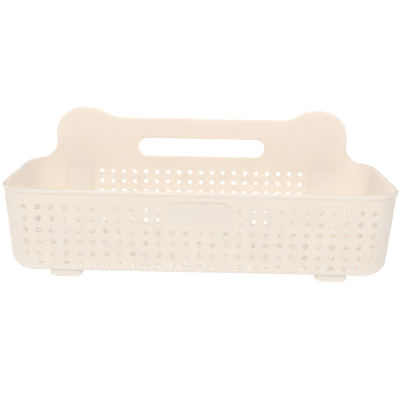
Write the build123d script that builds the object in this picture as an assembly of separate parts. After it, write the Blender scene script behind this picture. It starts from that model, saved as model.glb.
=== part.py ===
from build123d import *
import os
from math import atan2, ceil, degrees, floor, radians, tan

# Shower caddy: a moulded basket with a raised back panel, four push-in feet, and two wall plates
# whose tongues slide up into sockets behind the panel.
# Millimetres, +Z up, front towards -Y, origin on the floor under the middle of the whole part.

# Basket
rim_width = 301.5
basket_depth = 124.1
basket_height = 68.1
wall = 2.2
floor_thickness = 2.2
draft_angle = 3.8
front_corner = 24.0
rear_corner = 32.0
bottom_round = 13.0

# Lip round the rim
lip_overhang = 0.8
lip_height = 2.9
lip_round = 0.7
rim_inner_round = 0.7

# Back panel with its two ears, measured from the rim and from the basket's side
panel_rise = 35.2
ear_rise = 8.5
ear_inset = 20.65
ear_corner = 23.0
ear_crest = 7.3
ear_slope_run = 28.0
shoulder_round = 13.5
shoulder_sink = 0.5
panel_root = 0.4
panel_edge_round = 0.8

# Handle slot
slot_length = 112.8
slot_height = 16.2
slot_above_rim = 8.9
slot_edge_round = 0.7

# Holes in the front and back walls, whose first rows lie below the rim
hole_diameter = 4.0
hole_pitch = 10.0
hole_row_pitch = 9.16
front_row_drop = 13.4
back_row_drop = 14.15
hole_side_margin = 16.6
hole_floor_margin = 4.2
bottom_row_trim = 1

# Drain holes in the floor
drain_diameter = 4.0
drain_pitch = 15.6
drain_row_pitch = 8.7
drain_margin = 3.0

# Bare plaque on the front
plaque_length = 49.0
plaque_height = 17.4
plaque_drop = 16.8
plaque_raise = 0.7
plaque_edge_round = 0.4
plaque_gap = 0.6

# Feet, in plan a square with round corners
foot_width = 25.2
foot_corner = 6.2
foot_height = 7.0
foot_taper = 0.5
foot_edge_round = 1.0
foot_side_inset = 45.55
foot_front_inset = 29.6
foot_rear_inset = 26.4
stem_diameter = 8.0
stem_clearance = 0.1
snap_rim = 0.7
snap_taper = 1.2
snap_height = 1.6
snap_slit = 1.6

# Rear sockets, measured from the rim and from the basket's side
socket_side_inset = 40.05
socket_drop = 5.3
socket_length = 32.0
socket_rail = 3.7
socket_lip = 3.0
socket_lip_thickness = 1.8
socket_round = 3.0

# Wall plates and their tongues
tongue_width = 18.0
tongue_thickness = 2.2
tongue_length = 22.0
tongue_lead = 0.7
slide_clearance = 0.3
plate_width = 34.0
plate_height = 40.0
plate_thickness = 2.4
plate_corner = 5.0
plate_edge_round = 0.6
plate_above_socket = 4.9

# Adhesive pads
pad_thickness = 1.0
pad_margin = 1.0

# How far from edge-on a face may be and still count as edge-on in the front view
edge_on_limit = 0.001

# How far apart two faces may be and still count as one where the panel joins the tub
join_tolerance = 0.0001

# Levels that follow from the sizes above
slope = tan(radians(draft_angle))
underside = foot_height
floor_top = underside + floor_thickness
rim_top = underside + basket_height
lip_bottom = rim_top - lip_height
panel_bottom = rim_top - rim_inner_round - panel_root
panel_top = rim_top + panel_rise
ear_top = panel_top + ear_rise
plaque_centre = rim_top - plaque_drop
socket_top = rim_top - socket_drop
socket_bottom = socket_top - socket_length
channel_top = socket_top - socket_rail
gap_top = channel_top - socket_lip

# Widths and depths that follow from the sizes above
rim_half = rim_width / 2 - lip_overhang
hole_radius = hole_diameter / 2
drain_radius = drain_diameter / 2
stem_radius = stem_diameter / 2
socket_x = rim_half - socket_side_inset
channel_width = tongue_width + 2 * slide_clearance
channel_depth = tongue_thickness + 2 * slide_clearance
gap_width = channel_width - 2 * socket_lip
socket_width = channel_width + 2 * socket_rail
socket_depth = channel_depth + socket_lip_thickness
plate_offset = socket_depth + slide_clearance
overall_depth = basket_depth + plate_offset + plate_thickness + pad_thickness
lip_front = -overall_depth / 2
rim_front = lip_front + lip_overhang
back_face = lip_front + basket_depth
sides = {"left": -1, "right": 1}
ends = {"front": lip_front + foot_front_inset, "rear": back_face - foot_rear_inset}
foot_places = {
    f"foot_{end}_{side}": (sign * (rim_half - foot_side_inset), y)
    for end, y in ends.items()
    for side, sign in sides.items()
}


# A plane that looks at the part from the front, at a depth, with the part's own X and Z as its axes
def front_plane(depth):
    return Plane((0, depth, 0), x_dir=(1, 0, 0), z_dir=(0, -1, 0))


# A plane on the back wall at one socket, looking outwards, with its second axis upwards
def socket_plane(sign, depth):
    origin = (sign * socket_x, back_face + depth, 0)
    return Plane(origin, x_dir=(-1, 0, 0), z_dir=(0, 1, 0))


# An upright rectangle between two heights
def upright(width, bottom, top):
    return Pos(0, (bottom + top) / 2) * Rectangle(width, top - bottom)


# A rectangle in plan with its own corner radii at the front and at the rear
def plan(half_width, front, rear, front_radius, rear_radius):
    corners = [(-half_width, front), (half_width, front), (half_width, rear), (-half_width, rear)]
    face = make_face(Polyline(*corners, close=True))
    face = fillet(face.vertices().group_by(Axis.Y)[0], front_radius)
    return fillet(face.vertices().group_by(Axis.Y)[-1], rear_radius)


# The basket's plan at a height and an inset: the front and sides slope, the back is upright
def section(height, inset=0.0):
    shift = (rim_top - height) * slope + inset
    front = rim_front + shift
    rear = back_face - inset
    face = plan(rim_half - shift, front, rear, front_corner - shift, rear_corner - inset)
    return Pos(0, 0, height) * face


# A drafted tub between two heights, with its bottom edge rounded
def make_tub(bottom, top, inset, round_radius):
    body = loft([section(bottom, inset), section(top, inset)], ruled=True)
    lowest = body.faces().sort_by(Axis.Z)[0]
    return fillet(lowest.edges(), round_radius)


# The lip runs round the front and sides and ends flush with the back wall
def make_lip():
    front_radius = front_corner + lip_overhang
    rear_radius = rear_corner + lip_overhang
    face = plan(rim_width / 2, lip_front, back_face, front_radius, rear_radius)
    lip = extrude(Pos(0, 0, lip_bottom) * face, amount=lip_height)
    levels = lip.edges().group_by(Axis.Z)
    last = back_face - lip_overhang
    edges = [edge for edge in levels[0] + levels[-1] if edge.center().Y < last]
    return fillet(edges, lip_round)


# The open tub, which ends inside its lip and is hollowed past it, with a rounded inner edge
def make_shell():
    shell = make_tub(underside, rim_top - lip_height / 2, 0.0, bottom_round) + make_lip()
    shell -= make_tub(floor_top, rim_top + lip_height, wall, bottom_round - wall)
    rim = shell.faces().sort_by(Axis.Z)[-1]
    return fillet(rim.inner_wires()[0].edges(), rim_inner_round)


# Right half of the panel's front view: flat top, slope up to the ear, ear corner, shoulder
def panel_half():
    ear_side = rim_half - ear_inset
    corner_start = ear_side - ear_corner
    slope_start = corner_start - ear_crest - ear_slope_run
    slope_radius = (ear_slope_run**2 + ear_rise**2) / (4 * ear_rise)
    slope_turn = 2 * degrees(atan2(ear_rise, ear_slope_run))
    shoulder_start = rim_top - shoulder_sink + shoulder_round
    climb = JernArc((slope_start, panel_top), (1, 0), slope_radius, slope_turn)
    crest = JernArc(climb @ 1, climb % 1, slope_radius, -slope_turn)
    corner = JernArc((corner_start, ear_top), (1, 0), ear_corner, -90)
    shoulder = JernArc((ear_side, shoulder_start), (0, -1), shoulder_round, 90)
    outline = [
        Line((0, panel_top), climb @ 0),
        climb,
        crest,
        Line(crest @ 1, corner @ 0),
        corner,
        Line(corner @ 1, shoulder @ 0),
        shoulder,
        Polyline(shoulder @ 1, ((shoulder @ 1).X, panel_bottom), (0, panel_bottom), (0, panel_top)),
    ]
    return make_face(outline)


# The edges that a front view shows round a face or a hole, without those that run front to back
def outline_edges(faces):
    edges = ShapeList()
    for face in faces:
        edges += face.edges().filter_by(Axis.Y, reverse=True)
    return edges


def is_edge_on(face):
    return abs(face.normal_at().Y) < edge_on_limit


# The panel is the back wall carried on upwards from below the rounded rim, cut to its front view
def make_panel():
    half = panel_half()
    view = half + mirror(half, about=Plane.YZ)
    ring = section(rim_top) - section(rim_top, wall)
    ring = Pos(0, 0, panel_bottom - rim_top) * ring
    panel = extrude(ring, amount=ear_top - panel_bottom)
    panel &= extrude(front_plane(back_face) * view, amount=rear_corner)
    upper = [face for face in panel.faces() if face.center().Z > rim_top]
    return fillet(outline_edges([face for face in upper if is_edge_on(face)]), panel_edge_round)


# The plaque stands a little proud of the sloping front wall
def make_plaque():
    face_y = rim_front + (rim_top - plaque_centre) * slope
    place = Plane((0, face_y, plaque_centre), x_dir=(1, 0, 0), z_dir=(0, -1, -slope))
    outline = place * SlotOverall(plaque_length, plaque_height)
    plaque = extrude(outline, amount=plaque_raise) + extrude(outline, amount=-wall / 2)
    outer_face = plaque.faces().sort_by(Axis(place.origin, place.z_dir))[-1]
    return fillet(outer_face.edges(), plaque_edge_round)


# One rear socket: an upside-down U with an undercut, open at its lower end
def make_socket(sign):
    outer = upright(socket_width, socket_bottom, socket_top)
    outer = fillet(outer.vertices().group_by(Axis.Y)[-1], socket_round)
    channel = upright(channel_width, socket_bottom, channel_top)
    gap = upright(gap_width, socket_bottom, gap_top)
    body = extrude(socket_plane(sign, -wall / 2) * outer, amount=wall / 2 + socket_depth)
    body -= extrude(socket_plane(sign, 0) * channel, amount=channel_depth)
    return body - extrude(socket_plane(sign, channel_depth) * gap, amount=socket_lip_thickness)


# Hole centres along a wall, counted from the middle
def columns(reach):
    count = floor(reach / hole_pitch)
    return [index * hole_pitch for index in range(-count, count + 1)]


# Heights of a wall's rows of holes, from its first row down to the floor
def rows(drop):
    first = rim_top - drop
    count = floor((first - floor_top - hole_floor_margin) / hole_row_pitch) + 1
    return [first - index * hole_row_pitch for index in range(count)]


def is_on_plaque(x, z):
    margin = hole_radius + plaque_gap
    reach_x = plaque_length / 2 + margin
    reach_z = plaque_height / 2 + margin
    return abs(x) < reach_x and abs(z - plaque_centre) < reach_z


# The front's lowest row stops short of the rounded corners
def front_holes():
    across = columns(rim_half - hole_side_margin)
    levels = rows(front_row_drop)
    centres = []
    for z in levels:
        trim = bottom_row_trim if z == levels[-1] else 0
        centres += [(x, z) for x in across[trim:len(across) - trim] if not is_on_plaque(x, z)]
    return centres


# The back's rows stop short of the wall plates
def back_holes():
    reach = socket_x - max(socket_width, plate_width) / 2 - hole_radius
    return [(x, z) for z in rows(back_row_drop) for x in columns(reach)]


# Drain holes lie in a staggered grid on the flat of the floor, clear of the feet
def drain_holes():
    shift = (rim_top - underside) * slope
    border = bottom_round + drain_radius + drain_margin
    half_width = rim_half - shift - border
    first = rim_front + shift + border
    last = back_face - border
    row_count = floor((last - first) / drain_row_pitch)
    start = (first + last - row_count * drain_row_pitch) / 2
    steps = ceil(half_width / drain_pitch)
    centres = []
    for row in range(row_count + 1):
        y = start + row * drain_row_pitch
        offset = drain_pitch / 2 if row % 2 else 0.0
        across = [step * drain_pitch + offset for step in range(-steps, steps + 1)]
        centres += [(x, y) for x in across if abs(x) <= half_width and is_clear_of_feet(x, y)]
    return centres


def is_clear_of_feet(x, y):
    keep_off = foot_width / 2 + drain_radius
    apart = [max(abs(x - foot_x), abs(y - foot_y)) for foot_x, foot_y in foot_places.values()]
    return min(apart) > keep_off


# Round bars that cut the holes, front to back through a wall or upright through the floor
def wall_bars(centres, depth, length):
    face = Sketch() + [Pos(x, z) * Circle(hole_radius) for x, z in centres]
    return extrude(front_plane(depth) * face, amount=-length)


def floor_bars(centres, radius):
    face = Sketch() + [Pos(x, y) * Circle(radius) for x, y in centres]
    return extrude(Pos(0, 0, underside) * face, amount=2 * floor_thickness, both=True)


# The handle slot is cut through the back wall and its edges are rounded
def cut_slot(body):
    level = rim_top + slot_above_rim
    outline = front_plane(back_face) * Pos(0, level) * SlotOverall(slot_length, slot_height)
    body -= extrude(outline, amount=2 * wall, both=True)
    inside = [
        face
        for face in body.faces()
        if is_edge_on(face)
        and face.center().Y > back_face - wall
        and abs(face.center().X) < slot_length / 2
        and abs(face.center().Z - level) < slot_height
    ]
    return fillet(outline_edges(inside), slot_edge_round)


def make_basket():
    body = make_shell().fuse(make_panel(), tol=join_tolerance)
    body = cut_slot(body)
    body += make_plaque()
    for sign in sides.values():
        body += make_socket(sign)
    body -= wall_bars(front_holes(), lip_front, basket_depth / 2)
    body -= wall_bars(back_holes(), back_face - basket_depth / 2, basket_depth)
    body -= floor_bars(drain_holes(), drain_radius)
    return body - floor_bars(foot_places.values(), stem_radius + stem_clearance)


# A rounded block of a foot with a split stem that snaps through the floor
def make_foot():
    snap_bottom = floor_top + stem_clearance
    base_width = foot_width - 2 * foot_taper
    base = RectangleRounded(base_width, base_width, foot_corner - foot_taper)
    top = Pos(0, 0, foot_height) * RectangleRounded(foot_width, foot_width, foot_corner)
    block = loft([base, top], ruled=True)
    block = fillet(block.faces().sort_by(Axis.Z)[0].edges(), foot_edge_round)
    stem_length = snap_bottom - foot_height
    stem = Pos(0, 0, foot_height + stem_length / 2) * Cylinder(stem_radius, stem_length)
    snap_radius = stem_radius + snap_rim
    snap = Cone(snap_radius, snap_radius - snap_taper, snap_height)
    snap = Pos(0, 0, snap_bottom + snap_height / 2) * snap
    slit_height = stem_length + snap_height
    slit = Pos(0, 0, foot_height + slit_height / 2) * Box(snap_slit, 2 * snap_radius, slit_height)
    return block + (stem + snap - slit)


# A wall plate with a T-shaped tongue, seated at the top of its socket
def make_hook(sign):
    plate_top = socket_top + plate_above_socket
    tongue_top = channel_top - slide_clearance
    tongue_bottom = tongue_top - tongue_length
    outline = upright(plate_width, plate_top - plate_height, plate_top)
    outline = fillet(outline.vertices(), plate_corner)
    plate = extrude(socket_plane(sign, plate_offset) * outline, amount=plate_thickness)
    plate = fillet(plate.faces().sort_by(Axis.Y)[0].edges(), plate_edge_round)
    head_outline = upright(tongue_width, tongue_bottom, tongue_top)
    head_outline = chamfer(head_outline.vertices().group_by(Axis.Y)[-1], tongue_lead)
    head = extrude(socket_plane(sign, slide_clearance) * head_outline, amount=tongue_thickness)
    neck_width = gap_width - 2 * slide_clearance
    neck_outline = upright(neck_width, tongue_bottom, gap_top - slide_clearance)
    neck_start = slide_clearance + tongue_thickness
    neck = extrude(socket_plane(sign, neck_start) * neck_outline, amount=plate_offset - neck_start)
    return plate + neck + head


# A foam pad on the back of the wall plate
def make_pad(sign):
    pad_top = socket_top + plate_above_socket - pad_margin
    pad_height = plate_height - 2 * pad_margin
    outline = upright(plate_width - 2 * pad_margin, pad_top - pad_height, pad_top)
    outline = fillet(outline.vertices(), plate_corner - pad_margin)
    plate_back = socket_plane(sign, plate_offset + plate_thickness)
    return extrude(plate_back * outline, amount=pad_thickness)


pieces = {"basket_body": make_basket()}
for foot_name, (foot_x, foot_y) in foot_places.items():
    pieces[foot_name] = Pos(foot_x, foot_y, 0) * make_foot()
for side_name, side_sign in sides.items():
    pieces[f"wall_hook_{side_name}"] = make_hook(side_sign)
    pieces[f"adhesive_pad_{side_name}"] = make_pad(side_sign)

os.makedirs("parts", exist_ok=True)
for piece_name, piece in pieces.items():
    piece.label = piece_name
    export_step(piece, os.path.join("parts", f"{piece_name}.step"))
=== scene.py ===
import math
import bmesh
import bpy
from mathutils import Matrix, Vector, noise as field


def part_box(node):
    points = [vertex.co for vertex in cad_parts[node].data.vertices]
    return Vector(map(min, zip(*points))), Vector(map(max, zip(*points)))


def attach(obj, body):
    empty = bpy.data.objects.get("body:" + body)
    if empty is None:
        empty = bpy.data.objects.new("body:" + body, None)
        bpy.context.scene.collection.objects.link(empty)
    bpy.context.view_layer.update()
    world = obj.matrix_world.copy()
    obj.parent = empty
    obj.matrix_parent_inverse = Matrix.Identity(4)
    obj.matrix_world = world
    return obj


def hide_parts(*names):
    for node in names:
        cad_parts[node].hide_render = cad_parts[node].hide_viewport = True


# A shower caddy in cream plastic on a pale light table, in soft studio light.
# Metres, in the axes of the frame.

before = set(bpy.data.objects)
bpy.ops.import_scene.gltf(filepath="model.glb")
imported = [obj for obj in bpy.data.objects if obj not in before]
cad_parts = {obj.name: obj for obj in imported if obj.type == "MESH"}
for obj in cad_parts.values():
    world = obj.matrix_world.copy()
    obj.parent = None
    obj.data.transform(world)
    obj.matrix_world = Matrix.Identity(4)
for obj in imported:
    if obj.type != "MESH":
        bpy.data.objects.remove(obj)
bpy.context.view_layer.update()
scene = bpy.context.scene

# Camera, solved from the hole grid, the rim and the outline in the photograph
camera_lens = 61.2
sensor_width = 36.0
camera_place = Vector((0.0028, -0.5452, 0.2057))
camera_yaw = math.radians(0.31)
camera_pitch = math.radians(15.83)
camera_roll = math.radians(1.10)

# Studio lights: place, width and height, power in watts
light_aim = Vector((0.0, 0.0, 0.05))
lamps = {
    "front_light": ((0.0, -1.7, 0.9), (0.5, 0.5), 17.3),
    "tub_left_light": ((-0.1, -0.02, 0.45), (0.2, 0.15), 0.49),
    "tub_right_light": ((0.1, -0.02, 0.45), (0.2, 0.15), 0.50),
    "left_light": ((-0.8, 0.0, 0.55), (1.6, 1.1), 1.2),
    "left_back_light": ((-1.5, 0.6, 0.55), (1.0, 0.6), 7.6),
    "right_back_light": ((1.5, 0.6, 0.9), (1.0, 1.0), 7.9),
    "back_light": ((0.0, 0.8, 0.25), (1.6, 0.5), 4.3),
}
hidden_in_gloss = ("tub_left_light", "tub_right_light", "back_light")

# Backdrop: its strength in the picture, and as a light on the part
backdrop_glow = 1.03
ambient = 0.03

# Floor, a pale light table whose glow in the picture rises from near to far
floor_radius = 6.0
floor_segments = 96
floor_roughness = 0.9
floor_albedo = 0.3
floor_seen_albedo = 0.08
floor_glow = 0.65
near_white = 0.98
far_white = 1.03
near_reach = 0.25
far_reach = 0.7

# Colours, as linear red, green and blue
white = (1.0, 1.0, 1.0)
cream = (0.904, 0.838, 0.771)
cream_deep = (0.897, 0.828, 0.759)
plate_white = (0.80, 0.78, 0.73)
plate_white_deep = (0.77, 0.745, 0.69)
foam_pale = (0.80, 0.775, 0.73)
foam_shade = (0.63, 0.605, 0.56)

# Plastic, with the range of roughness on each kind of piece
plastic_inputs = {
    "IOR": 1.49,
    "Subsurface Weight": 1.0,
    "Subsurface Radius": (1.0, 1.0, 1.0),
    "Subsurface Scale": 0.0015,
}
basket_roughness = (0.36, 0.48)
foot_roughness = (0.42, 0.54)
plate_roughness = (0.30, 0.42)

# Noise in the plastic and the foam: scale, detail and roughness
cloud_noise = (22.0, 3.0, 0.55)
grain_noise = (1500.0, 2.0, 0.6)
wave_noise = (90.0, 1.0, 0.5)
patch_noise = (90.0, 2.0, 0.5)
noise_range = (0.3, 0.7)
grain_depth = 0.000025
wave_depth = 0.00012

# Levels of the basket, worked out from its box
basket_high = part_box("basket_body")[1]
ear_above_rim = 0.0437
lip_height = 0.0029
socket_depth = 0.0046
panel_thickness = 0.0022
rim_top = basket_high.z - ear_above_rim
lip_bottom = rim_top - lip_height
panel_front = basket_high.y - socket_depth - panel_thickness

# Sockets behind the back panel, whose rails show faintly through it; their outline is painted shade on
# the panel's front face
rail_shade_tone = (0.875, 0.785, 0.70)
rail_share = 0.4
rail_blur = 0.0008
rail_width = 0.0037
socket_half = 0.0130
socket_drop = 0.0053
socket_length = 0.0320
socket_top = rim_top - socket_drop
socket_bottom = socket_top - socket_length
hook_low, hook_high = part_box("wall_hook_right")
socket_x = (hook_low.x + hook_high.x) / 2

# Edges that look up, from the lip upwards, with painted shade that makes them a little darker
upward_edge_shade_tone = (0.845, 0.785, 0.725)
edge_drop = 0.0010
edge_bottom = lip_bottom - edge_drop
edge_blur = 0.0008
edge_tilt = (0.15, 0.65)

# Rounded edges of the back panel, with painted shade that makes them darker still
outline_shade_tone = (0.76, 0.70, 0.65)
outline_lift = 0.0031
outline_bottom = rim_top + outline_lift
outline_turn = (0.70, 0.97)

# Painted shadow in the crease under the lip, a little darker and fading out towards the rear
lip_shadow_tone = (0.85, 0.775, 0.70)
crease_drop = 0.0009
crease_lift = 0.0004
crease_blur = 0.0003
crease_side = (0.002, 0.010)
crease_end = (0.045, 0.050)

# Foam pads
pad_corner = 0.004
pad_edge_draw = 0.00018
pad_dimple = 0.00006
pad_dimple_scale = 260.0
pad_corner_steps = 8
pad_edge_rings = 6
pad_face_rings = 9
pad_face_reach = 0.9
foam_cell_scale = 1300.0
foam_cell_depth = 0.0001
foam_cell_edge = (0.1, 0.7)
foam_roughness = (0.9, 0.72)


def new_material(name):
    material = bpy.data.materials.new(name)
    material.use_nodes = True
    return material, material.node_tree, material.node_tree.nodes["Principled BSDF"]


def opaque(colour):
    return (*colour, 1.0)


def feed(tree, socket, value):
    if isinstance(value, bpy.types.NodeSocket):
        tree.links.new(value, socket)
    else:
        socket.default_value = value


def calc(tree, operation, *values):
    node = tree.nodes.new("ShaderNodeMath")
    node.operation = operation
    for socket, value in zip(node.inputs, values):
        feed(tree, socket, value)
    return node.outputs["Value"]


def product(tree, first, *others):
    for other in others:
        first = calc(tree, "MULTIPLY", first, other)
    return first


def remap(tree, value, low, high, to_low=0.0, to_high=1.0):
    node = tree.nodes.new("ShaderNodeMapRange")
    node.interpolation_type = "SMOOTHSTEP"
    for socket, number in zip(node.inputs, (value, low, high, to_low, to_high)):
        feed(tree, socket, number)
    return node.outputs["Result"]


# One above a level and nothing below it, with a soft step
def above(tree, value, level, blur):
    return remap(tree, value, level - blur, level + blur)


# One inside a band of values and nothing outside it, with soft ends
def band(tree, value, low, high, blur):
    fall = remap(tree, value, high - blur, high + blur, 1.0, 0.0)
    return product(tree, above(tree, value, low, blur), fall)


# One value in the picture, and another one for the light that falls on the part
def seen_or_lit(tree, seen, lit):
    in_picture = tree.nodes.new("ShaderNodeLightPath").outputs["Is Camera Ray"]
    if isinstance(seen, bpy.types.NodeSocket):
        difference = calc(tree, "SUBTRACT", seen, lit)
    else:
        difference = seen - lit
    return calc(tree, "ADD", product(tree, in_picture, difference), lit)


def place_of(tree):
    return tree.nodes.new("ShaderNodeTexCoord").outputs["Object"]


def axes(tree, vector):
    split = tree.nodes.new("ShaderNodeSeparateXYZ")
    tree.links.new(vector, split.inputs["Vector"])
    return [split.outputs[axis] for axis in "XYZ"]


def facing_of(tree):
    return axes(tree, tree.nodes.new("ShaderNodeNewGeometry").outputs["Normal"])


def noise(tree, place, scale, detail, roughness):
    node = tree.nodes.new("ShaderNodeTexNoise")
    tree.links.new(place, node.inputs["Vector"])
    node.inputs["Scale"].default_value = scale
    node.inputs["Detail"].default_value = detail
    node.inputs["Roughness"].default_value = roughness
    return node.outputs["Fac"]


def blend_colours(tree, factor, first, second):
    node = tree.nodes.new("ShaderNodeMix")
    node.data_type = "RGBA"
    sockets = {socket.identifier: socket for socket in node.inputs}
    feed(tree, sockets["Factor_Float"], factor)
    feed(tree, sockets["A_Color"], first)
    feed(tree, sockets["B_Color"], second)
    return next(socket for socket in node.outputs if socket.identifier == "Result_Color")


def bump(tree, height, distance, normal=None):
    node = tree.nodes.new("ShaderNodeBump")
    node.inputs["Distance"].default_value = distance
    tree.links.new(height, node.inputs["Height"])
    if normal is not None:
        tree.links.new(normal, node.inputs["Normal"])
    return node.outputs["Normal"]


# Where the rails and the head of each socket lie behind the panel's front face, for painted shade
def rail_shade_mask(tree, place):
    x, y, z = axes(tree, place)
    beside = calc(tree, "ABSOLUTE", calc(tree, "SUBTRACT", calc(tree, "ABSOLUTE", x), socket_x))
    rails = product(
        tree,
        band(tree, beside, socket_half - rail_width, socket_half, rail_blur),
        band(tree, z, socket_bottom, socket_top, rail_blur),
    )
    head = product(
        tree,
        band(tree, beside, -socket_half, socket_half, rail_blur),
        band(tree, z, socket_top - rail_width, socket_top, rail_blur),
    )
    face = band(tree, y, panel_front - rail_blur, panel_front + rail_blur, rail_blur / 2)
    return product(tree, calc(tree, "MAXIMUM", rails, head), face, rail_share)


# Where the lip and the panel's edges look up, for painted shade
def upward_edge_shade_mask(tree, place):
    height = axes(tree, place)[2]
    upward = facing_of(tree)[2]
    return product(tree, above(tree, height, edge_bottom, edge_blur), remap(tree, upward, *edge_tilt))


# Where the back panel turns away from its two faces, for painted shade
def outline_shade_mask(tree, place):
    height = axes(tree, place)[2]
    facing = calc(tree, "ABSOLUTE", facing_of(tree)[1])
    turned = remap(tree, facing, *outline_turn, 1.0, 0.0)
    return product(tree, above(tree, height, outline_bottom, edge_blur), turned)


# Where the outside of the tub meets the underside of its lip, for a painted shadow line
def lip_shadow_mask(tree, place):
    x, y, z = axes(tree, place)
    face_x, face_y = facing_of(tree)[:2]
    outward = calc(tree, "ADD", product(tree, x, face_x), product(tree, y, face_y))
    outside = remap(tree, outward, *crease_side)
    level = band(tree, z, lip_bottom - crease_drop, lip_bottom + crease_lift, crease_blur)
    ahead = remap(tree, y, *crease_end, 1.0, 0.0)
    return product(tree, outside, level, ahead)


# Moulded plastic: faint flow clouds in the colour, fine mould grain, slight waviness
def moulded_plastic(name, light, deep, roughness, marks=()):
    material, tree, shader = new_material(name)
    place = place_of(tree)
    clouds = remap(tree, noise(tree, place, *cloud_noise), *noise_range)
    colour = blend_colours(tree, clouds, opaque(light), opaque(deep))
    for mask, tone in marks:
        colour = blend_colours(tree, mask(tree, place), colour, opaque(tone))
    tree.links.new(colour, shader.inputs["Base Color"])
    grain = noise(tree, place, *grain_noise)
    waves = noise(tree, place, *wave_noise)
    tree.links.new(remap(tree, waves, *noise_range, *roughness), shader.inputs["Roughness"])
    normal = bump(tree, grain, grain_depth, bump(tree, waves, wave_depth))
    tree.links.new(normal, shader.inputs["Normal"])
    for socket, value in plastic_inputs.items():
        shader.inputs[socket].default_value = value
    return material


# Closed-cell foam tape: small round cells, dull, with painted shade in the hollows between them
def foam(name):
    material, tree, shader = new_material(name)
    place = place_of(tree)
    cells = tree.nodes.new("ShaderNodeTexVoronoi")
    cells.inputs["Scale"].default_value = foam_cell_scale
    tree.links.new(place, cells.inputs["Vector"])
    dome = remap(tree, cells.outputs["Distance"], *foam_cell_edge, 1.0, 0.0)
    paleness = product(tree, dome, noise(tree, place, *patch_noise))
    colour = blend_colours(tree, paleness, opaque(foam_shade), opaque(foam_pale))
    tree.links.new(colour, shader.inputs["Base Color"])
    tree.links.new(remap(tree, dome, 0.0, 1.0, *foam_roughness), shader.inputs["Roughness"])
    tree.links.new(bump(tree, dome, foam_cell_depth), shader.inputs["Normal"])
    return material


# Floor material: one glow and albedo in the picture, others as a light on the part
def light_table(name):
    material, tree, shader = new_material(name)
    shader.inputs["Roughness"].default_value = floor_roughness
    shader.inputs["Specular IOR Level"].default_value = 0.0
    shader.inputs["Emission Color"].default_value = opaque(white)
    reach = tree.nodes.new("ShaderNodeVectorMath")
    reach.operation = "LENGTH"
    tree.links.new(place_of(tree), reach.inputs[0])
    glow = remap(tree, reach.outputs["Value"], near_reach, far_reach, near_white, far_white)
    tree.links.new(seen_or_lit(tree, floor_seen_albedo, floor_albedo), shader.inputs["Base Color"])
    tree.links.new(seen_or_lit(tree, glow, floor_glow), shader.inputs["Emission Strength"])
    return material


def nodes_named(start):
    return [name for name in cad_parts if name.startswith(start)]


def dress(node_names, material):
    for name in node_names:
        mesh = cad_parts[name].data
        mesh.materials.clear()
        mesh.materials.append(material)


def place_object(name, data):
    item = bpy.data.objects.new(name, data)
    scene.collection.objects.link(item)
    return item


# A rounded outline in a wall's plane, drawn in by an inset
def pad_outline(half_width, half_height, inset):
    radius = max(pad_corner - inset, pad_corner / pad_corner_steps)
    reach_x = half_width - inset - radius
    reach_z = half_height - inset - radius
    points = []
    for corner, (x, z) in enumerate([(1, 1), (-1, 1), (-1, -1), (1, -1)]):
        for step in range(pad_corner_steps + 1):
            angle = (corner + step / pad_corner_steps) * math.pi / 2
            across = x * reach_x + radius * math.cos(angle)
            up = z * reach_z + radius * math.sin(angle)
            points.append((across, up))
    return points


# Inset and level of each ring, from the middle of one face over the cut edge to the other face
def pad_rings(half_width):
    steps = range(1, pad_face_rings + 1)
    face = [half_width * pad_face_reach * step / pad_face_rings for step in steps]
    levels = [2 * step / pad_edge_rings - 1 for step in range(pad_edge_rings + 1)]
    first_face = [(inset, -1.0) for inset in reversed(face)]
    edge = [(pad_edge_draw * level**2, level) for level in levels]
    second_face = [(inset, 1.0) for inset in face]
    return first_face + edge + second_face


# One ring of a pad's corners, with shallow dimples where it lies in a face
def pad_loop(shape, middle, half, inset, level):
    loop = []
    for x, z in pad_outline(half.x, half.z, inset):
        spot = Vector((middle.x + x, middle.y + half.y * level, middle.z + z))
        if abs(level) == 1.0:
            spot.y -= level * pad_dimple * (1 + field.noise(spot * pad_dimple_scale)) / 2
        loop.append(shape.verts.new(spot))
    return loop


# Faces between neighbouring loops, and one more to close each end
def skin(shape, loops):
    for first, second in zip(loops, loops[1:]):
        count = len(first)
        for index in range(count):
            after = (index + 1) % count
            shape.faces.new((first[index], first[after], second[after], second[index]))
    shape.faces.new(loops[0])
    shape.faces.new(loops[-1])
    bmesh.ops.recalc_face_normals(shape, faces=shape.faces)


# A foam pad: cut edges that draw in towards both faces, and faces with shallow dimples
def make_pad(name, body, material):
    low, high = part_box(name)
    middle = (low + high) / 2
    half = (high - low) / 2
    shape = bmesh.new()
    skin(shape, [pad_loop(shape, middle, half, *ring) for ring in pad_rings(half.x)])
    mesh = bpy.data.meshes.new(f"{name}_foam")
    shape.to_mesh(mesh)
    shape.free()
    mesh.shade_smooth()
    mesh.materials.append(material)
    pad = place_object(f"{name}_foam", mesh)
    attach(pad, body)
    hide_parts(name)


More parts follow.
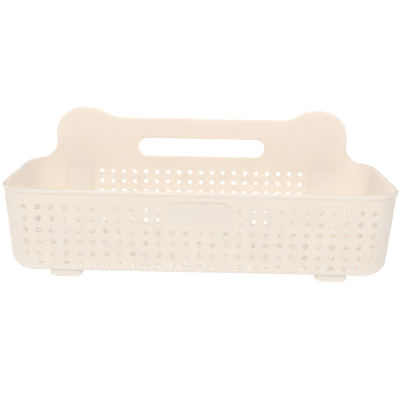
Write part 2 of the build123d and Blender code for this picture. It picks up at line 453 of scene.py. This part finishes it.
def make_floor():
    disc = bmesh.new()
    bmesh.ops.create_circle(disc, cap_ends=True, segments=floor_segments, radius=floor_radius)
    mesh = bpy.data.meshes.new("floor")
    disc.to_mesh(mesh)
    disc.free()
    mesh.materials.append(light_table("floor_white"))
    floor = place_object("floor", mesh)


def make_lamp(name, place, size, power):
    lamp = bpy.data.lights.new(name, "AREA")
    lamp.shape = "RECTANGLE"
    lamp.size, lamp.size_y = size
    lamp.energy = power
    light = place_object(name, lamp)
    light.visible_camera = False
    light.visible_glossy = name not in hidden_in_gloss
    light.location = place
    light.rotation_euler = (light_aim - Vector(place)).to_track_quat("-Z", "Y").to_euler()


def make_backdrop():
    world = bpy.data.worlds.new("studio")
    scene.world = world
    world.use_nodes = True
    tree = world.node_tree
    background = tree.nodes["Background"]
    background.inputs["Color"].default_value = opaque(white)
    tree.links.new(seen_or_lit(tree, backdrop_glow, ambient), background.inputs["Strength"])


def make_camera():
    camera_data = bpy.data.cameras.new("camera")
    camera_data.lens = camera_lens
    camera_data.sensor_width = sensor_width
    camera = place_object("camera", camera_data)
    turn = Matrix.Rotation(camera_yaw, 4, "Z") @ Matrix.Rotation(math.pi / 2 - camera_pitch, 4, "X")
    camera.matrix_world = Matrix.Translation(camera_place) @ turn @ Matrix.Rotation(camera_roll, 4, "Z")
    scene.camera = camera


# Plastic pieces
# Painted shade on the basket: the rails behind the panel, the edges that look up, the panel's outline
# and a shadow line under the lip
basket_marks = [
    (rail_shade_mask, rail_shade_tone),
    (upward_edge_shade_mask, upward_edge_shade_tone),
    (outline_shade_mask, outline_shade_tone),
    (lip_shadow_mask, lip_shadow_tone),
]
basket_cream = moulded_plastic("basket_cream", cream, cream_deep, basket_roughness, basket_marks)
dress(["basket_body"], basket_cream)
dress(nodes_named("foot_"), moulded_plastic("foot_cream", cream, cream_deep, foot_roughness))
hook_plastic = moulded_plastic("plate_white", plate_white, plate_white_deep, plate_roughness)
dress(nodes_named("wall_hook_"), hook_plastic)

# Foam pieces
pad_foam = foam("pad_foam")
for side in ("left", "right"):
    make_pad(f"adhesive_pad_{side}", f"hook_{side}", pad_foam)

# Studio
make_floor()
for name, (place, size, power) in lamps.items():
    make_lamp(name, place, size, power)
make_backdrop()
make_camera()
scene.view_settings.view_transform = "Standard"
